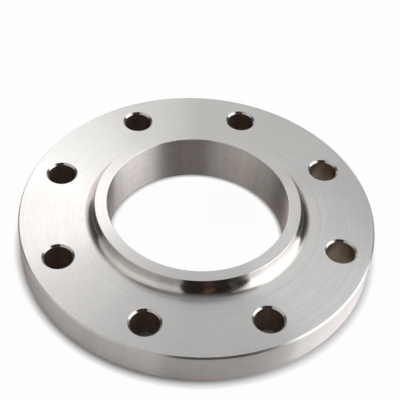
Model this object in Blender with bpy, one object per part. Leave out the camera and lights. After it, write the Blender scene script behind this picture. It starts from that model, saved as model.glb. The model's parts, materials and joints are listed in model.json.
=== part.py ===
"""Slip-on pipe flange with a raised gasket face, class 150, for DN 100 (4 inch) pipe.

One piece of stainless steel, turned all over and drilled.  It lies on its gasket
face with the hub up.  The origin is in the middle of the bore, on the gasket face,
and +Z runs along the bore towards the hub's end.  The bolt holes straddle the X and
Y axes, as they straddle a pipe's centre lines.  All lengths are in metres.
"""
import math

import bmesh
import bpy
from mathutils import Vector

# Bore and hub
BORE_D = 0.1161            # slips over a 114.3 pipe
BORE_EDGE_BREAK = 0.0004   # both ends of the bore
HUB_WALL = 0.0080          # above the fillet
HUB_HEIGHT = 0.0094        # above the plate
HUB_EDGE_BREAK = 0.0004    # outer edge of the hub's end
HUB_FILLET = 0.0070        # quarter round where the hub meets the plate

# Plate
PLATE_THICKNESS = 0.0223   # at the rim, without the raised face
HUB_TO_BOLTS = 0.02920     # hub wall to the bolt circle, which is 190.5 mm across
BOLTS_TO_RIM = 0.01925     # bolt circle to the rim, which is 229.0 mm across
RIM_CHAMFER = 0.0010       # both edges of the rim, 45 degrees

# Raised gasket face, under the plate
FACE_WIDTH = 0.02055       # bore to the edge of the face, which is 157.2 mm across
FACE_HEIGHT = 0.0016
FACE_EDGE_BREAK = 0.0002

# Bolt holes
BOLT_COUNT = 8
BOLT_HOLE_D = 0.0180
BOLT_HOLE_CHAMFER = 0.0012   # both faces of the plate, 45 degrees

# Facets
TURNED_STEPS = 128         # round the flange
HOLE_STEPS = 32            # round each bolt hole
FILLET_STEPS = 6           # along the hub's fillet

CUTTER_OVERRUN = 0.0010    # how far a drill's cones run past the faces they cut
STEEL_COLOUR = (0.62, 0.61, 0.60, 1.0)

bore_radius = BORE_D / 2
hub_radius = bore_radius + HUB_WALL
face_radius = bore_radius + FACE_WIDTH
bolt_radius = hub_radius + HUB_TO_BOLTS
rim_radius = bolt_radius + BOLTS_TO_RIM
plate_top = FACE_HEIGHT + PLATE_THICKNESS
hub_end = plate_top + HUB_HEIGHT


def clear_scene():
    for item in list(bpy.data.objects):
        bpy.data.objects.remove(item, do_unlink=True)


def steel_material():
    steel = bpy.data.materials.new("turned stainless steel")
    steel.use_nodes = True
    shader = steel.node_tree.nodes["Principled BSDF"]
    shader.inputs["Base Color"].default_value = STEEL_COLOUR
    shader.inputs["Metallic"].default_value = 1.0
    shader.inputs["Roughness"].default_value = 0.30
    steel.diffuse_color = STEEL_COLOUR
    return steel


def fillet_points():
    """The hub's fillet, from its tangent on the hub wall down to its toe on the plate."""
    radius = min(HUB_FILLET, HUB_HEIGHT - 2 * HUB_EDGE_BREAK)
    points = []
    for step in range(FILLET_STEPS + 1):
        angle = math.pi + math.pi / 2 * step / FILLET_STEPS
        points.append((hub_radius + radius + radius * math.cos(angle),
                       plate_top + radius + radius * math.sin(angle)))
    return points


def turned_section():
    """Half section (radius, height), down the outer side from the hub's end and back up the bore."""
    return [
        (bore_radius + BORE_EDGE_BREAK, hub_end),
        (hub_radius - HUB_EDGE_BREAK, hub_end),
        (hub_radius, hub_end - HUB_EDGE_BREAK),
        *fillet_points(),
        (rim_radius - RIM_CHAMFER, plate_top),
        (rim_radius, plate_top - RIM_CHAMFER),
        (rim_radius, FACE_HEIGHT + RIM_CHAMFER),
        (rim_radius - RIM_CHAMFER, FACE_HEIGHT),
        (face_radius, FACE_HEIGHT),
        (face_radius, FACE_EDGE_BREAK),
        (face_radius - FACE_EDGE_BREAK, 0.0),
        (bore_radius + BORE_EDGE_BREAK, 0.0),
        (bore_radius, BORE_EDGE_BREAK),
        (bore_radius, hub_end - BORE_EDGE_BREAK),
    ]


def drill_section():
    """Half section of a bolt hole's cutter: a shank with a 45-degree cone at each face."""
    shank = BOLT_HOLE_D / 2
    mouth = shank + BOLT_HOLE_CHAMFER + CUTTER_OVERRUN
    return [
        (mouth, plate_top + CUTTER_OVERRUN),
        (shank, plate_top - BOLT_HOLE_CHAMFER),
        (shank, FACE_HEIGHT + BOLT_HOLE_CHAMFER),
        (mouth, FACE_HEIGHT - CUTTER_OVERRUN),
    ]


def turn(name, section, steps, closed):
    """Spin a section in the XZ plane once round Z.  An open one gets a flat cap at each end."""
    bm = bmesh.new()
    corners = [bm.verts.new((radius, 0.0, height)) for radius, height in section]
    joins = list(zip(corners, corners[1:]))
    if closed:
        joins.append((corners[-1], corners[0]))
    edges = [bm.edges.new(join) for join in joins]
    bmesh.ops.spin(
        bm,
        geom=corners + edges,
        cent=Vector((0.0, 0.0, 0.0)),
        axis=Vector((0.0, 0.0, 1.0)),
        angle=2 * math.pi,
        steps=steps,
        use_merge=True,
    )
    if not closed:
        bmesh.ops.holes_fill(bm, edges=[edge for edge in bm.edges if edge.is_boundary], sides=0)
    bmesh.ops.recalc_face_normals(bm, faces=bm.faces)
    mesh = bpy.data.meshes.new(name)
    bm.to_mesh(mesh)
    bm.free()
    return mesh


def shade(mesh):
    """Round faces smooth, with crisp edges.  Flat ones stay flat, so cuts leave them even."""
    mesh.shade_smooth()
    mesh.set_sharp_from_angle(angle=math.radians(25.0))
    for face in mesh.polygons:
        if abs(face.normal.z) > 0.9999:
            face.use_smooth = False


def place(name, mesh, location=(0.0, 0.0, 0.0), angle=0.0):
    item = bpy.data.objects.new(name, mesh)
    item.location = location
    item.rotation_euler = (0.0, 0.0, angle)
    bpy.context.collection.objects.link(item)
    return item


def turned_blank():
    mesh = turn("flange", turned_section(), TURNED_STEPS, closed=True)
    shade(mesh)
    mesh.materials.append(steel_material())
    return place("flange", mesh)


def drill_bolt_holes(blank):
    drill = turn("drill", drill_section(), HOLE_STEPS, closed=False)
    shade(drill)
    for index in range(BOLT_COUNT):
        angle = 2 * math.pi * (index + 0.5) / BOLT_COUNT
        centre = (bolt_radius * math.cos(angle), bolt_radius * math.sin(angle), 0.0)
        cutter = place(f"drill_{index + 1}", drill, centre, angle)
        cutter.hide_render = True
        cutter.display_type = "WIRE"
        cut = blank.modifiers.new(f"bolt hole {index + 1}", "BOOLEAN")
        cut.operation = "DIFFERENCE"
        cut.solver = "EXACT"
        cut.object = cutter


clear_scene()
flange = turned_blank()
drill_bolt_holes(flange)
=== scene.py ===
# %% [markdown]
# # A slip-on pipe flange, turned and drilled from stainless steel
#
# A slip-on flange is a ring that slides over the end of a pipe and is welded to it.
# The plate carries eight bolt holes, the short collar on top is the hub, and the
# raised ring underneath presses on the gasket.  A turner makes it on a lathe and then
# drills the holes, and this lesson makes it the same way: draw half of the section,
# turn it round the axis, drill, and then finish the steel.
#
# The solid model comes first.  It gives the flange its true size and place, and the
# lesson lays a finer surface over it.

# %% Load the solid model as a fixed frame
import json
import math

import bmesh
import bpy
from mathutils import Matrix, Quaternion, Vector

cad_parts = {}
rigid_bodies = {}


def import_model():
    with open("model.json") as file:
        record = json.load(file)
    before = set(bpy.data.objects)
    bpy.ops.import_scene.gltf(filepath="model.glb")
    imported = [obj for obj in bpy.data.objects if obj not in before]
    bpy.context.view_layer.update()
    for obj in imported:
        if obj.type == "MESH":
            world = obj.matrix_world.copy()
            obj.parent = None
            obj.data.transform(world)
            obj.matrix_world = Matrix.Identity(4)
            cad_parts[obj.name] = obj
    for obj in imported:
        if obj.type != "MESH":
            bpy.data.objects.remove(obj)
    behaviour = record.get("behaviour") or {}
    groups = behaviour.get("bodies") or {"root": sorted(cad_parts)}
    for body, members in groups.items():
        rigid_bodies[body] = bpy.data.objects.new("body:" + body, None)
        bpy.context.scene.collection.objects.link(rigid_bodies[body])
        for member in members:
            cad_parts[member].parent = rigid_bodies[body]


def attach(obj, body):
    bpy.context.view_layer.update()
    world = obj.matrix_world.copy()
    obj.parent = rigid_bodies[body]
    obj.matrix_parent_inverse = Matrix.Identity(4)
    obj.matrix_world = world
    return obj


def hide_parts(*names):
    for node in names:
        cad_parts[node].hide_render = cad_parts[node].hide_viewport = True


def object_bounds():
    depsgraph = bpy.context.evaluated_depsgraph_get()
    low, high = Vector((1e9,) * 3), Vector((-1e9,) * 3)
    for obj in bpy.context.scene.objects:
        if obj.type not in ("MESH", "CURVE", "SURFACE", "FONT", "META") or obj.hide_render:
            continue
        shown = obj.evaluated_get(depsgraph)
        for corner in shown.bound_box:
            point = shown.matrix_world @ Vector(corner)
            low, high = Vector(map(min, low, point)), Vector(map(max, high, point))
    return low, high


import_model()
cad_low, cad_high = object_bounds()
print("the solid spans, in mm,", [round((b - a) * 1000, 1) for a, b in zip(cad_low, cad_high)])

# %% [markdown]
# ## The sizes
#
# The solid gives the outside sizes, so the fine surface can't drift away from it.
# What the solid's box doesn't say is written here once, each size in millimetres times
# MM, because Blender counts in metres.  The bore slips over a 114.3 mm pipe, and the hub
# is a wall of 8 mm round it.

# %% Sizes of the turned section
MM = 0.001
RIM_RADIUS = (cad_high[0] - cad_low[0]) / 2
HUB_END = cad_high[2]
BORE_RADIUS = 58.05 * MM
HUB_RADIUS = 66.05 * MM
FACE_RADIUS = 78.6 * MM
FACE_HEIGHT = 1.6 * MM
PLATE_TOP = 23.9 * MM
BOLT_RADIUS = 95.25 * MM
HOLE_RADIUS = 9.0 * MM
HOLE_CHAMFER = 1.2 * MM
RIM_CHAMFER = 1.0 * MM
HUB_FILLET = 7.0 * MM
EDGE_BREAK = 0.4 * MM
FACE_BREAK = 0.2 * MM
BOLT_COUNT = 8
print(f"rim {RIM_RADIUS / MM:.2f} mm, hub end {HUB_END / MM:.2f} mm")

# %% [markdown]
# ## Half of the section
#
# Everything round on the flange comes from one outline: the shape that a cut from the
# axis outwards would show.  Its eight corners are drawn as one flat face.  A turner
# leaves no outer corner dead sharp, and the hub runs out on the plate in a fillet.  Each
# of these is a bevel of one vertex, the same way that a fillet is added in a drawing.

# %% Draw the section's face
section = bmesh.new()
corners = [
    (BORE_RADIUS, HUB_END),
    (HUB_RADIUS, HUB_END),
    (HUB_RADIUS, PLATE_TOP),
    (RIM_RADIUS, PLATE_TOP),
    (RIM_RADIUS, FACE_HEIGHT),
    (FACE_RADIUS, FACE_HEIGHT),
    (FACE_RADIUS, 0.0),
    (BORE_RADIUS, 0.0),
]
section_face = section.faces.new([section.verts.new((r, 0.0, z)) for r, z in corners])
print("section corners:", len(section_face.verts))

# %% Break and round its corners
def nearest(bm, radius, height):
    spot = Vector((radius, 0.0, height))
    return min(bm.verts, key=lambda vert: (vert.co - spot).length)


def ease_corner(bm, radius, height, size, steps):
    """Chamfer (one step) or round (several steps) the section's corner at this spot."""
    bmesh.ops.bevel(
        bm,
        geom=[nearest(bm, radius, height)],
        offset=size,
        offset_type="OFFSET",
        affect="VERTICES",
        segments=steps,
        profile=0.5,
        material=-1,
    )


CHAMFER_STEPS = 1
FACE_BREAK_STEPS = 2
BREAK_STEPS = 4
FILLET_STEPS = 20

ease_corner(section, HUB_RADIUS, PLATE_TOP, HUB_FILLET, FILLET_STEPS)
ease_corner(section, HUB_RADIUS, HUB_END, EDGE_BREAK, BREAK_STEPS)
ease_corner(section, RIM_RADIUS, PLATE_TOP, RIM_CHAMFER, CHAMFER_STEPS)
ease_corner(section, RIM_RADIUS, FACE_HEIGHT, RIM_CHAMFER, CHAMFER_STEPS)
ease_corner(section, FACE_RADIUS, 0.0, FACE_BREAK, FACE_BREAK_STEPS)
ease_corner(section, BORE_RADIUS, HUB_END, EDGE_BREAK, BREAK_STEPS)
ease_corner(section, BORE_RADIUS, 0.0, EDGE_BREAK, BREAK_STEPS)
print("section points after easing:", len(section.verts))

# %% [markdown]
# ## Grooves on the gasket face
#
# The raised face isn't smooth.  A round-nosed tool leaves a fine record groove every
# 0.8 mm, about 0.05 mm deep, and the gasket is squeezed into it so that it can't creep.
# The face is a single line in the section, so it is cut into short steps and every
# second point is lifted.  Turning the section makes each lifted point a groove.

# %% Cut the grooves into the section's lowest line
GROOVE_PITCH = 0.8 * MM
GROOVE_DEPTH = 0.05 * MM
TOUCHING = 0.001 * MM


def lies_on_face(edge):
    return all(abs(vert.co.z) < TOUCHING for vert in edge.verts)


face_line = max((e for e in section.edges if lies_on_face(e)), key=lambda e: e.calc_length())
grooves = int(face_line.calc_length() / GROOVE_PITCH)
cut = bmesh.ops.subdivide_edges(section, edges=[face_line], cuts=2 * grooves - 1)
along = sorted(
    (item for item in cut["geom_inner"] if isinstance(item, bmesh.types.BMVert)),
    key=lambda vert: vert.co.x,
)
for vert in along[::2]:
    vert.co.z += GROOVE_DEPTH
print("grooves on the gasket face:", grooves)

# %% [markdown]
# ## Turn the section
#
# `spin` sweeps the outline once round the Z axis.  Only the outline is wanted, not the
# flat face inside it, so the face goes first.  `use_merge` joins the last step to the
# first, and the normals are worked out afresh because a spin doesn't know which side is
# out.

# %% Spin the outline round the bore
TURN_STEPS = 256
CENTRE = Vector((0.0, 0.0, 0.0))
UP = Vector((0.0, 0.0, 1.0))


def turn(bm, steps):
    """Sweep the outline in the XZ plane once round Z, and close the skin that it makes."""
    bmesh.ops.delete(bm, geom=list(bm.faces), context="FACES_ONLY")
    bmesh.ops.spin(
        bm,
        geom=list(bm.verts) + list(bm.edges),
        cent=CENTRE,
        axis=UP,
        angle=math.tau,
        steps=steps,
        use_merge=True,
    )
    bmesh.ops.remove_doubles(bm, verts=list(bm.verts), dist=TOUCHING)
    bmesh.ops.recalc_face_normals(bm, faces=list(bm.faces))


def to_object(bm, name):
    mesh = bpy.data.meshes.new(name)
    bm.to_mesh(mesh)
    bm.free()
    made = bpy.data.objects.new(name, mesh)
    bpy.context.collection.objects.link(made)
    return made


turn(section, TURN_STEPS)
flange = to_object(section, "flange_surface")
print("faces on the turned blank:", len(flange.data.polygons))

# %% [markdown]
# ## Drill the bolt holes
#
# The drill is a little turned shape of its own: a shank as wide as the hole, with a
# cone at each end that cuts the 45-degree chamfers.  It is turned from an open outline
# that starts and ends on the axis.  The cones run 1 mm past the plate, because a cutter
# whose face lies exactly in the face that it cuts gives a ragged result.

# %% Turn one drill
OVERRUN = 1.0 * MM
HOLE_STEPS = 72

drill = bmesh.new()
mouth = HOLE_RADIUS + HOLE_CHAMFER + OVERRUN
drill_line = [
    (0.0, PLATE_TOP + OVERRUN),
    (mouth, PLATE_TOP + OVERRUN),
    (HOLE_RADIUS, PLATE_TOP - HOLE_CHAMFER),
    (HOLE_RADIUS, FACE_HEIGHT + HOLE_CHAMFER),
    (mouth, FACE_HEIGHT - OVERRUN),
    (0.0, FACE_HEIGHT - OVERRUN),
]
drill_points = [drill.verts.new((r, 0.0, z)) for r, z in drill_line]
for start, end in zip(drill_points, drill_points[1:]):
    drill.edges.new((start, end))
turn(drill, HOLE_STEPS)
print("faces on one drill:", len(drill.faces))

# %% Copy it round the bolt circle
# The holes straddle the axes, so the first stands half a step away from +X.
step = math.tau / BOLT_COUNT
hole_centres = [Vector((BOLT_RADIUS, 0.0, 0.0))]
hole_centres[0].rotate(Quaternion(UP, step / 2))
bmesh.ops.translate(drill, verts=list(drill.verts), vec=hole_centres[0])
first_drill = list(drill.verts) + list(drill.edges) + list(drill.faces)
for index in range(1, BOLT_COUNT):
    turned_by = Quaternion(UP, step * index)
    copy = bmesh.ops.duplicate(drill, geom=first_drill)["geom"]
    bmesh.ops.rotate(
        drill,
        cent=CENTRE,
        matrix=turned_by.to_matrix(),
        verts=[item for item in copy if isinstance(item, bmesh.types.BMVert)],
    )
    hole_centres.append(turned_by @ hole_centres[0])
drills = to_object(drill, "drills")
print("hole centres, in mm:", [(round(c.x / MM, 1), round(c.y / MM, 1)) for c in hole_centres])

# %% Cut the holes and keep the result
def keep_modified(item):
    """Replace an object's mesh by what its modifiers make of it, and drop the modifiers."""
    graph = bpy.context.evaluated_depsgraph_get()
    made = bpy.data.meshes.new_from_object(item.evaluated_get(graph))
    item.modifiers.clear()
    item.data = made


drilling = flange.modifiers.new("bolt holes", "BOOLEAN")
drilling.operation = "DIFFERENCE"
drilling.solver = "EXACT"
drilling.object = drills
keep_modified(flange)
bpy.data.objects.remove(drills)
print("faces after drilling:", len(flange.data.polygons))

# %% [markdown]
# ## Which way the tool went
#
# Fine parallel scratches make steel shine in streaks across them.  The renderer has to
# know which way they run at each spot: round the bore on turned faces, and round its own
# hole on drilled ones.  That direction is stored on the mesh as an attribute called
# `lay`, the word that a turner uses for it.
#
# The faces are sorted at the same time, because each tool leaves its own finish: the
# facing cut on the plate and the hub's end, the fillet and wall of the hub, the bore,
# the rim, the drilled holes, the grooved gasket face, and the chamfers.  The sorting
# looks only at where a face lies and how steep it is.

# %% Sort the faces and store the lay
KINDS = ["faced", "filleted", "bored", "rim", "drilled", "gasket", "rim chamfer", "hole chamfer"]
NEAR = 0.1 * MM       # a face this close to a radius was cut at that radius
CLEAR = 0.01 * MM     # a face this far above the plate belongs to the hub
SLACK = 0.01          # how far a normal may be from a wall's or a chamfer's
LEVEL = 0.999         # a normal this steep belongs to a flat face


def hole_of(point):
    """The centre of the bolt hole whose wall or chamfer holds this point, or None."""
    for centre in hole_centres:
        if math.hypot(point.x - centre.x, point.y - centre.y) < HOLE_RADIUS + HOLE_CHAMFER:
            return centre
    return None


def kind_of(face, centre):
    """Which tool cut this face; centre is its bolt hole's centre, or None off the holes."""
    middle = face.calc_center_median()
    out = math.hypot(middle.x, middle.y)
    upright = abs(face.normal.z) < SLACK
    sloped = abs(abs(face.normal.z) - math.sqrt(0.5)) < SLACK
    faces_down = face.normal.z < -0.5
    # The chamfers under the plate take the drilled finish, whose dark colour paints their shade.
    if centre and (upright or middle.z < PLATE_TOP / 2):
        return "drilled"
    if centre and sloped:
        return "hole chamfer"
    if sloped and out > RIM_RADIUS - RIM_CHAMFER - NEAR:
        return "rim chamfer"
    if upright and out < BORE_RADIUS + NEAR:
        return "bored"
    if upright and out > RIM_RADIUS - NEAR:
        return "rim"
    if faces_down and middle.z < 2 * GROOVE_DEPTH:
        return "gasket"
    if middle.z > PLATE_TOP + CLEAR and out > HUB_RADIUS - NEAR:
        return "filleted"
    return "faced"


cutting = bmesh.new()
cutting.from_mesh(flange.data)
lay = cutting.loops.layers.float_vector.new("lay")
for face in cutting.faces:
    level = abs(face.normal.z) > LEVEL
    centre = None if level else hole_of(face.calc_center_median())
    for corner in face.loops:
        arm = corner.vert.co - (centre or CENTRE)
        corner[lay] = Vector((-arm.y, arm.x, 0.0)).normalized()
    face.material_index = KINDS.index(kind_of(face, centre))
cutting.to_mesh(flange.data)
cutting.free()
kinds = [face.material_index for face in flange.data.polygons]
print("faces of each kind:", {name: kinds.count(index) for index, name in enumerate(KINDS)})

# %% Smooth the round faces and keep the flat ones true
# A weighted normal leans to the biggest face at each point, so the wide flat faces stay
# flat to the last millimetre and only the fillet and the rounds turn the light.
SHARP_ANGLE = math.radians(30.0)

flange.data.shade_smooth()
flange.data.set_sharp_from_angle(angle=SHARP_ANGLE)
weighing = flange.modifiers.new("weighted normals", "WEIGHTED_NORMAL")
weighing.keep_sharp = True
weighing.weight = 100
keep_modified(flange)
print("corners on the finished flange:", len(flange.data.vertices))

# %% [markdown]
# ## The steel
#
# Turned stainless steel is a mirror seen through fine ruled lines.  Along the lines it
# is sharp, and across them each highlight is drawn out.  The Principled shader does this
# with its anisotropy, given the lay.
#
# The rest is what makes the steel look cut and handled, and all of it is noise that runs
# with the tool.  The tool's travel is the distance it has gone, out along a flat face
# and down along a wall, so noise over the travel gives feed marks and rings.  Streaks
# follow the lay, because the edge of a tool never cuts evenly for a whole turn.  Bands
# lie across the lay, where the work trembled.  Faint clouds stand for handling.  Each
# pattern shifts the colour by a few hundredths, and by a tenth at most in the drilled
# holes: more would look like paint.

# %% Nodes that the finishes share
class Graph:
    """The nodes of a material or of the sky, added and linked one after another."""

    def __init__(self, owner, shader="Principled BSDF"):
        owner.use_nodes = True
        self.owner = owner
        self.nodes = owner.node_tree.nodes
        self.links = owner.node_tree.links
        self.shader = self.nodes[shader]

    def put(self, value, socket):
        """Link another node's output to this socket, or set the socket's own value."""
        if isinstance(value, bpy.types.NodeSocket):
            self.links.new(value, socket)
        else:
            socket.default_value = value

    def add(self, kind, inputs, **settings):
        """A new node.  Its inputs are given by their names, or by their numbers."""
        node = self.nodes.new("ShaderNode" + kind)
        for key, value in settings.items():
            setattr(node, key, value)
        for key, value in inputs.items():
            self.put(value, node.inputs[key])
        return node

    def math(self, operation, *values):
        return self.add("Math", dict(enumerate(values)), operation=operation).outputs[0]

    def vector(self, operation, inputs):
        return self.add("VectorMath", inputs, operation=operation).outputs["Vector"]

    def noise_at(self, place, scale, detail):
        """Noise through the whole space."""
        inputs = {"Vector": place, "Scale": scale, "Detail": detail}
        return self.add("TexNoise", inputs, noise_dimensions="3D").outputs["Fac"]

    def noise_along(self, distance, scale, detail):
        """Noise that changes with one distance only."""
        inputs = {"W": distance, "Scale": scale, "Detail": detail}
        return self.add("TexNoise", inputs, noise_dimensions="1D").outputs["Fac"]

    def span(self, value, low, high, start=0.0, end=1.0):
        """Stretch a value's range, from start to end, over another range."""
        inputs = {"Value": value, "From Min": start, "From Max": end, "To Min": low, "To Max": high}
        return self.add("MapRange", inputs).outputs["Result"]


def tool_travel(graph, place):
    """Distance that the tool has gone, in mm: outwards on a flat face, down on a wall."""
    axes = graph.add("SeparateXYZ", {"Vector": place}).outputs
    square = graph.math("ADD", graph.math("POWER", axes["X"], 2.0), graph.math("POWER", axes["Y"], 2.0))
    travel = graph.math("SUBTRACT", graph.math("SQRT", square), axes["Z"])
    return graph.math("MULTIPLY", travel, 1.0 / MM)


def lay_noise(graph, lay, travel, around, across):
    """Noise drawn out along the lay, with no seam where the turn closes.

    It changes this often around, in a radian of the turn, and across, in a mm of travel.
    """
    turned = graph.vector("SCALE", {0: lay, "Scale": around})
    shift = graph.add("CombineXYZ", {"Z": graph.math("MULTIPLY", travel, across)}).outputs["Vector"]
    return graph.noise_at(graph.vector("ADD", {0: turned, 1: shift}), 1.0, 3.0)


def wide_rings(graph, travel):
    """Rings about 8 mm wide."""
    return graph.noise_along(travel, 0.13, 1.0)


def long_streaks(graph, lay, travel):
    """Streaks about a twelfth of a turn long and 3 mm wide."""
    return lay_noise(graph, lay, travel, 2.0, 0.35)


# %% One kind of steel with its marks
NOISE_LOW = 0.25        # noise seldom leaves the range between these two
NOISE_HIGH = 0.75
UNEVENNESS = 0.02       # how far the roughness wanders
STREAK_DEPTH = 0.04     # the long streaks' share of the waviness
QUARTER_TURN = 0.25     # turns the drawn-out shine from along the lay to across it


def patterned_tint(graph, place, travel, lay, streaks, chatter):
    """A factor close to 1 that carries the rings, clouds, streaks and bands."""
    fine_rings = graph.noise_along(travel, 0.6, 2.0)            # about 2 mm wide
    clouds = graph.noise_at(place, 60.0, 4.0)                   # about 17 mm across
    short_streaks = lay_noise(graph, lay, travel, 20.0, 0.6)    # about 5 mm long on the plate
    bands = lay_noise(graph, lay, travel, 11.0, 0.012)          # about 9 mm wide on the plate
    tint = 1.0
    for pattern, share in (
        (fine_rings, 0.02),
        (wide_rings(graph, travel), 0.015),
        (clouds, 0.6 * streaks),
        (short_streaks, streaks),
        (long_streaks(graph, lay, travel), 0.6 * streaks),
        (bands, chatter),
    ):
        factor = graph.span(pattern, 1.0 - share, 1.0 + share, NOISE_LOW, NOISE_HIGH)
        tint = graph.math("MULTIPLY", tint, factor)
    return tint


def ruled_steel(name, colour, roughness, feed, mark_height, waviness, streaks, chatter, stretch=1.0):
    """Steel cut with this feed, in mm.  Heights are in mm, streaks and chatter are shares."""
    graph = Graph(bpy.data.materials.new(name))
    shader = graph.shader.inputs
    place = graph.add("TexCoord", {}).outputs["Object"]
    travel = tool_travel(graph, place)
    lay = graph.add("Attribute", {}, attribute_name="lay").outputs["Vector"]
    rings = wide_rings(graph, travel)
    drawn_out = long_streaks(graph, lay, travel)

    tint = patterned_tint(graph, place, travel, lay, streaks, chatter)
    graph.put(graph.vector("SCALE", {0: colour, "Scale": tint}), shader["Base Color"])

    by_rings = graph.span(rings, -UNEVENNESS, UNEVENNESS)
    by_streaks = graph.span(drawn_out, -UNEVENNESS, UNEVENNESS)
    uneven = graph.math("ADD", by_rings, by_streaks)
    graph.put(graph.math("ADD", uneven, roughness), shader["Roughness"])

    feed_marks = graph.span(graph.noise_along(travel, 1.0 / feed, 3.0), 0.0, mark_height)
    marks = graph.math("ADD", feed_marks, graph.span(rings, 0.0, waviness))
    marks = graph.math("ADD", marks, graph.span(drawn_out, 0.0, STREAK_DEPTH * waviness))
    bump = graph.add("Bump", {"Height": marks, "Strength": 1.0, "Distance": MM})
    graph.put(bump.outputs["Normal"], shader["Normal"])

    graph.put(lay, shader["Tangent"])
    shader["Metallic"].default_value = 1.0
    shader["Anisotropic"].default_value = stretch
    shader["Anisotropic Rotation"].default_value = QUARTER_TURN
    return graph.owner


# %% [markdown]
# ## One finish for each tool
#
# The plate and the hub were faced with a fine, sharp tool and shine the most.  The bore
# and the rim were cut faster, so their marks are deeper and their shine is broad.  The
# colours differ a little too: in the photograph the coarser cuts look warmer, so theirs
# lean towards brown, and the bore's steel is lighter than the plate's, which paints extra
# light on the bore's wall.  A drill tears rather than cuts, so the holes are dull and
# their shine is drawn out less.  Their colour is a dark brown, darker than steel, which
# paints the shade deep in the holes and under the plate.  The chamfers were cut last, by
# a tool of their own, and those round the holes are a darker steel, which dims their
# glints: painted shade.

# %% Turned, drilled and grooved finishes
STEEL = (0.618, 0.611, 0.603)
HUB_STEEL = (0.63, 0.60, 0.575)
SIDE_STEEL = (0.615, 0.574, 0.549)
# painted light: the bore's steel is lighter than the plate's, to brighten the bore's wall
BORE_STEEL_WITH_PAINTED_LIGHT = (0.69, 0.64, 0.61)
# painted shade: the holes' dark brown stands in for the shade deep in them
DRILLED_STEEL_WITH_PAINTED_SHADE = (0.32, 0.245, 0.185)
# painted shade: the hole chamfers are a darker steel, which dims their glints
HOLE_CHAMFER_STEEL_DIMMED = (0.52, 0.50, 0.48)

finishes = {
    "faced": ruled_steel("faced_steel", STEEL, roughness=0.20, feed=0.25, mark_height=0.002,
                         waviness=0.012, streaks=0.02, chatter=0.012),
    "filleted": ruled_steel("filleted_steel", HUB_STEEL, roughness=0.20, feed=0.25, mark_height=0.001,
                            waviness=0.0, streaks=0.02, chatter=0.02),
    "bored": ruled_steel("bored_steel", BORE_STEEL_WITH_PAINTED_LIGHT, roughness=0.48, feed=0.35, mark_height=0.012,
                         waviness=0.02, streaks=0.06, chatter=0.06),
    "rim": ruled_steel("rim_steel", SIDE_STEEL, roughness=0.40, feed=0.35, mark_height=0.012,
                       waviness=0.02, streaks=0.06, chatter=0.05),
    "drilled": ruled_steel("drilled_steel_with_painted_shade", DRILLED_STEEL_WITH_PAINTED_SHADE, roughness=0.42, feed=0.30,
                           mark_height=0.015, waviness=0.03, streaks=0.10, chatter=0.08, stretch=0.4),
    "gasket": ruled_steel("gasket_steel", STEEL, roughness=0.32, feed=0.20, mark_height=0.004,
                          waviness=0.0, streaks=0.03, chatter=0.01),
    "rim chamfer": ruled_steel("rim_chamfer_steel", STEEL, roughness=0.34, feed=0.30, mark_height=0.004,
                               waviness=0.0, streaks=0.06, chatter=0.03),
    "hole chamfer": ruled_steel("hole_chamfer_steel", HOLE_CHAMFER_STEEL_DIMMED, roughness=0.24, feed=0.30,
                                mark_height=0.004, waviness=0.0, streaks=0.06, chatter=0.03),
}
for name in KINDS:
    flange.data.materials.append(finishes[name])
flange.data.polygons.foreach_set("material_index", kinds)
print("finishes:", [material.name for material in flange.data.materials])

# %% The fine surface stands in for the solid
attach(flange, "root")
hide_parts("flange")
print("the fine surface:", flange.name)

# %% [markdown]
# ## The table
#
# The flange lies on its gasket face on a plain white table.  Close to it the paper is
# plain paper, so it keeps the soft shadow there.  A few millimetres out from the rim, or
# in from the bore's wall, its white is given straight to the camera and to clear rays,
# and it reads as a clean ground.
#
# The rim is upright, so from above it mirrors the table.  The mirror rays get the white
# too, but it comes in more slowly, and last on the left, where the flange's own shade
# would lie.

# %% White table
TABLE_SIZE = 8.0
WHITE = (1.0, 1.0, 1.0, 1.0)
PAPER_WHITE = (0.92, 0.92, 0.92, 1.0)
PLAIN_WHITE_SHARE = 0.97
RIM_FADE = 5.0 * MM
BORE_FADE = 3.0 * MM
SHINE_FADE = 28.0 * MM
SHINE_MIDDLE = (-30.0 * MM, 2.0 * MM, 0.0)   # the rim mirrors less white on the left

slab = bmesh.new()
bmesh.ops.create_grid(slab, x_segments=1, y_segments=1, size=TABLE_SIZE / 2)
table = to_object(slab, "table")


def fade_in(graph, middle, start, end):
    """0 where the distance from this middle is start, changing evenly to 1 where it is end."""
    place = graph.add("TexCoord", {}).outputs["Object"]
    arm = graph.vector("SUBTRACT", {0: place, 1: middle})
    distance = graph.add("VectorMath", {0: arm}, operation="LENGTH").outputs["Value"]
    return graph.span(distance, 0.0, 1.0, start, end)


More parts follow.
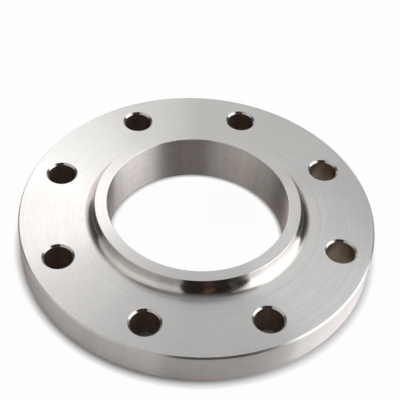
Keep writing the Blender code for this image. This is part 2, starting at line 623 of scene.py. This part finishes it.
def white_paper(name):
    """White paper that mostly shows plain white to the camera, mirror and clear rays."""
    graph = Graph(bpy.data.materials.new(name))
    graph.put(PAPER_WHITE, graph.shader.inputs["Base Color"])
    graph.put(0.9, graph.shader.inputs["Roughness"])
    graph.put(0.1, graph.shader.inputs["Specular IOR Level"])

    rays = graph.add("LightPath", {}).outputs
    outside = fade_in(graph, CENTRE, RIM_RADIUS, RIM_RADIUS + RIM_FADE)
    inside = fade_in(graph, CENTRE, BORE_RADIUS, BORE_RADIUS - BORE_FADE)
    seen = graph.math("MAXIMUM", rays["Is Camera Ray"], rays["Is Transmission Ray"])
    seen = graph.math("MULTIPLY", seen, graph.math("MAXIMUM", outside, inside))
    mirrored = fade_in(graph, SHINE_MIDDLE, RIM_RADIUS, RIM_RADIUS + SHINE_FADE)
    shine = graph.math("MULTIPLY", rays["Is Glossy Ray"], mirrored)
    share = graph.math("MULTIPLY", graph.math("MAXIMUM", seen, shine), PLAIN_WHITE_SHARE)

    paper = graph.shader.outputs["BSDF"]
    glow = graph.add("Emission", {"Color": WHITE, "Strength": 1.0}).outputs["Emission"]
    blend = graph.add("MixShader", {"Fac": share, 1: paper, 2: glow}).outputs["Shader"]
    graph.put(blend, graph.nodes["Material Output"].inputs["Surface"])
    return graph.owner


table.data.materials.append(white_paper("white_table"))
print("table, in metres:", TABLE_SIZE, "square")

# %% [markdown]
# ## The studio
#
# Polished metal shows the room around it, so a photographer lights the room and not the
# metal.  Two soft boxes are its lamps, a tall one on the right and a small one behind.
# Everything else is a card with a glow of its own, bright or nearly black, and its work
# is to be mirrored.
#
# Most cards are strips of a big upright cylinder round the flange, 3 m away.  A strip is
# given by the azimuths and the elevations that it covers, in degrees, seen from the
# middle of the bore on the table: 0 is along +X, 90 is behind, and 270 is the camera's
# side.  Three more cards are flat round sheets.  A card's brightness is a radiance,
# where 1 is the white of paper.

# %% Helpers for placing lamps and cards
def towards(azimuth, distance):
    """The point on the table this far from the middle, in this direction."""
    angle = math.radians(azimuth)
    return Vector((math.cos(angle), math.sin(angle), 0.0)) * distance


def rise(angle, distance):
    """How high this elevation, in degrees, is at this distance."""
    return distance * math.tan(math.radians(angle))


# %% One soft box
LAMP_WATTS = 1.94     # per square metre: an area lamp then glows as a card of radiance 1 does
BOX_DISTANCE = 2.4


def soft_box(name, from_azimuth, to_azimuth, low, high, radiance, tint):
    """An upright area lamp that covers these azimuths and elevations, as bright from anywhere."""
    azimuth = (from_azimuth + to_azimuth) / 2
    bottom = rise(low, BOX_DISTANCE)
    top = rise(high, BOX_DISTANCE)
    data = bpy.data.lights.new(name, "AREA")
    data.shape = "RECTANGLE"
    data.size = 2 * rise(to_azimuth - azimuth, BOX_DISTANCE)
    data.size_y = top - bottom
    data.energy = radiance * data.size * data.size_y * LAMP_WATTS
    data.color = tint
    lamp = bpy.data.objects.new(name, data)
    lamp.location = towards(azimuth, BOX_DISTANCE) + UP * (bottom + top) / 2
    lamp.rotation_mode = "QUATERNION"
    lamp.rotation_quaternion = (-towards(azimuth, 1.0)).to_track_quat("-Z", "Y")
    bpy.context.collection.objects.link(lamp)


# %% One card, curved or round
CARD_DISTANCE = 3.0
CARD_TOP = 64.0
CARD_STEPS = 16
ROUND_STEPS = 64
BLACK = (0.0, 0.0, 0.0, 1.0)


def glowing(sheet, radiance, tint):
    """A card's finish: an even glow and nothing else."""
    graph = Graph(bpy.data.materials.new(sheet.name))
    graph.put(BLACK, graph.shader.inputs["Base Color"])
    graph.put(0.0, graph.shader.inputs["Specular IOR Level"])
    graph.put((*tint, 1.0), graph.shader.inputs["Emission Color"])
    graph.put(radiance, graph.shader.inputs["Emission Strength"])
    sheet.data.materials.append(graph.owner)
    sheet.visible_camera = False
    return graph


def card(name, from_azimuth, to_azimuth, low, high, radiance, tint, distance=CARD_DISTANCE):
    """A curved card that covers these azimuths and elevations of the studio."""
    bm = bmesh.new()
    foot = towards(from_azimuth, distance)
    ends = [foot + UP * rise(angle, distance) for angle in (low, high)]
    edge = bm.edges.new([bm.verts.new(end) for end in ends])
    bmesh.ops.spin(
        bm,
        geom=list(edge.verts) + [edge],
        cent=CENTRE,
        axis=UP,
        angle=math.radians(to_azimuth - from_azimuth),
        steps=CARD_STEPS,
    )
    glowing(to_object(bm, name), radiance, tint)


def round_card(name, radius, middle, radiance, tint):
    """A flat round card that lies level round this point."""
    bm = bmesh.new()
    bmesh.ops.create_circle(bm, cap_ends=True, segments=ROUND_STEPS, radius=radius)
    bmesh.ops.translate(bm, verts=list(bm.verts), vec=middle)
    return glowing(to_object(bm, name), radiance, tint)


def card_names():
    return [item.name for item in bpy.data.objects if item.name.endswith("card")]


print(f"the cards reach {rise(CARD_TOP, CARD_DISTANCE):.2f} m up")

# %% Tints and soft boxes
PLAIN = (1.00, 1.00, 1.00)
DAYLIGHT = (0.95, 0.975, 1.00)
WARM = (1.00, 0.985, 0.96)
COOL = (0.97, 0.985, 1.00)
ROSY = (1.00, 0.94, 0.92)
SEPIA = (1.00, 0.84, 0.74)
BROWN = (1.00, 0.55, 0.38)
UMBER = (1.00, 0.42, 0.26)
COPPER = (1.00, 0.50, 0.33)

soft_box("key_box", -30.0, 19.0, 0.5, CARD_TOP, 2.65, DAYLIGHT)
soft_box("back_box", 91.0, 104.0, 40.5, 50.0, 2.30, PLAIN)

# %% [markdown]
# ## The cards
#
# Where a card goes follows from the mirror rule.  The plate is flat and looks up, so the
# camera sees in it the part of the room that lies behind, 40 to 50 degrees up.  The hub
# is a short round wall with a fillet, so it shows the whole room in a narrow band: the
# right side of the hub mirrors the right of the room, and the front mirrors the
# camera's own side.
#
# Dark gaps beside the bright boxes are what makes the hub look round.  The cards in
# front are nearly black, with one strip of copper and one thin bright slit between
# them, because a dark band is livelier with something in it.

# %% Cards on the right and behind
card("side_card", -44.0, -30.0, 0.5, 40.5, 2.00, DAYLIGHT)
card("side_high_card", -44.0, -30.0, 40.5, CARD_TOP, 0.90, PLAIN)
card("right_gap_card", 18.0, 48.0, 0.0, 37.5, 0.02, SEPIA)
card("right_high_card", 19.0, 37.0, 37.5, CARD_TOP, 1.50, PLAIN)
card("right_back_card", 37.0, 48.0, 37.5, 43.0, 0.50, PLAIN)
card("right_back_high_card", 37.0, 50.0, 43.0, CARD_TOP, 1.30, PLAIN)
card("right_dim_card", 48.0, 62.0, 0.0, 43.0, 0.25, WARM)
card("back_right_card", 62.0, 85.0, 0.0, 43.0, 0.80, WARM)
card("back_right_high_card", 50.0, 80.0, 43.0, CARD_TOP, 0.74, COOL)
card("back_right_top_card", 80.0, 85.0, 50.0, CARD_TOP, 0.68, COOL)
card("back_step_card", 80.0, 85.0, 43.0, 50.0, 1.25, WARM)
card("back_inner_card", 85.0, 91.0, 40.5, 50.0, 1.75, WARM)
card("back_card", 85.0, 104.0, 0.0, 40.5, 0.90, WARM)
card("back_top_card", 85.0, 104.0, 50.0, CARD_TOP, 0.68, COOL)
print("cards so far:", len(card_names()))

# %% Cards on the left
card("back_left_card", 104.0, 118.0, 0.0, CARD_TOP, 1.05, ROSY)
card("left_back_card", 118.0, 129.0, 0.0, CARD_TOP, 1.05, ROSY)
card("left_gap_card", 129.0, 162.0, 0.0, 19.0, 0.02, SEPIA)
card("left_high_card", 129.0, 162.0, 19.0, 50.0, 0.07, WARM)
card("left_top_card", 129.0, 162.0, 50.0, CARD_TOP, 0.35, WARM)
card("left_low_card", 162.0, 253.0, 0.0, 13.0, 0.47, WARM)
card("left_card", 162.0, 184.0, 13.0, CARD_TOP, 0.84, WARM)
card("left_front_card", 184.0, 228.0, 13.0, CARD_TOP, 0.98, WARM)
card("front_left_card", 228.0, 253.0, 13.0, CARD_TOP, 0.78, WARM)
print("cards so far:", len(card_names()))

# %% Cards in front
card("front_black_card", 253.0, 275.0, 0.0, CARD_TOP, 0.018, UMBER)
card("front_copper_card", 275.0, 284.0, 0.0, CARD_TOP, 0.12, COPPER)
card("front_right_black_card", 284.0, 302.4, 0.0, CARD_TOP, 0.016, UMBER)
card("front_slit_card", 302.4, 303.6, 0.0, CARD_TOP, 0.30, PLAIN)
card("front_grey_card", 303.6, 316.0, 0.0, CARD_TOP, 0.022, BROWN)
# This one stands close, between the flange and the camera, and hides only the lowest strip.
card("front_flag_card", 253.0, 309.0, 0.0, 13.0, 0.006, BROWN, distance=0.24)
print("cards so far:", len(card_names()))

# %% [markdown]
# ## The round cards and the sky
#
# The bore's wall mirrors the lit table inside it, so a small black card lies there, at
# the back right, and keeps that side of the bore dark.  A lid closes the cylinder above.
# It is nearly black, and brighter towards the back, because the plate's blurred shine
# reaches up to it there.  A smaller card hangs right overhead, so that the plate isn't
# black when it is seen from above.
#
# The camera doesn't see the cards.  Round the flange it sees the table and the sky, which
# is white to the camera and to mirror and clear rays, and a dim grey to all the others.

# %% Black card in the bore
BORE_CARD_RADIUS = 18.5 * MM
BORE_CARD_PLACE = (25.0 * MM, 25.0 * MM, 0.5 * MM)

round_card("bore_card", BORE_CARD_RADIUS, BORE_CARD_PLACE, 0.01, SEPIA)
print("cards so far:", len(card_names()))

# %% Lid, brighter towards the back
LID_HEIGHT = rise(CARD_TOP, CARD_DISTANCE)
LID_OVERLAP = 0.1
LID_DARKEST = 0.08
LID_SLOPE = 0.04
LID_CURVE = 2.5

above = round_card("top_card", CARD_DISTANCE + LID_OVERLAP, (0.0, 0.0, LID_HEIGHT), 0.0, COOL)
place = above.add("TexCoord", {}).outputs["Object"]
axes = above.add("SeparateXYZ", {"Vector": place}).outputs
backwards = above.math("POWER", above.math("MAXIMUM", axes["Y"], 0.0), LID_CURVE)
glow = above.math("MULTIPLY_ADD", backwards, LID_SLOPE, LID_DARKEST)
above.put(glow, above.shader.inputs["Emission Strength"])
print("cards so far:", len(card_names()))

# %% Card overhead
OVERHEAD_RADIUS = 1.4
OVERHEAD_DROP = 0.1     # how far it hangs under the lid

round_card("overhead_card", OVERHEAD_RADIUS, (0.0, 0.0, LID_HEIGHT - OVERHEAD_DROP), 0.26, COOL)
print("cards:", card_names())

# %% Sky of the studio
DIM_GREY = (0.15, 0.15, 0.15, 1.0)

world = bpy.data.worlds.new("studio")
bpy.context.scene.world = world
sky = Graph(world, "Background")
sky.put(DIM_GREY, sky.shader.inputs["Color"])
rays = sky.add("LightPath", {}).outputs
seen = sky.math("MAXIMUM", rays["Is Camera Ray"], rays["Is Transmission Ray"])
seen = sky.math("MAXIMUM", seen, rays["Is Glossy Ray"])
grey = sky.shader.outputs["Background"]
white = sky.add("Background", {"Color": WHITE}).outputs["Background"]
choice = sky.add("MixShader", {"Fac": seen, 1: grey, 2: white}).outputs["Shader"]
sky.put(choice, sky.nodes["World Output"].inputs["Surface"])
print("sky:", world.name)

# %% [markdown]
# ## The camera
#
# The view was found from the flange itself: circles of known size turn into ellipses,
# and only one camera gives these ellipses.  It stands 0.63 m from the middle of the bore
# on the table, 48 degrees up, and is rolled a little, and it looks at the middle of the
# hub's end.

# %% Camera
SENSOR_WIDTH = 36.0     # this and the lens are in mm
LENS = 85.60
STANDPOINT = (-0.04938, -0.42043, 0.46920)
AIM = (0.00115, 0.00086, 0.0333)
ROLL = math.radians(4.13)

camera_data = bpy.data.cameras.new("camera")
camera_data.sensor_width = SENSOR_WIDTH
camera_data.lens = LENS
camera = bpy.data.objects.new("camera", camera_data)
camera.location = STANDPOINT
view = Vector(AIM) - camera.location
camera.rotation_mode = "QUATERNION"
camera.rotation_quaternion = view.to_track_quat("-Z", "Y") @ Quaternion(UP, ROLL)
bpy.context.collection.objects.link(camera)
bpy.context.scene.camera = camera
bpy.context.scene.view_settings.view_transform = "Standard"
print(f"from the camera to the hub's end: {view.length:.2f} m")
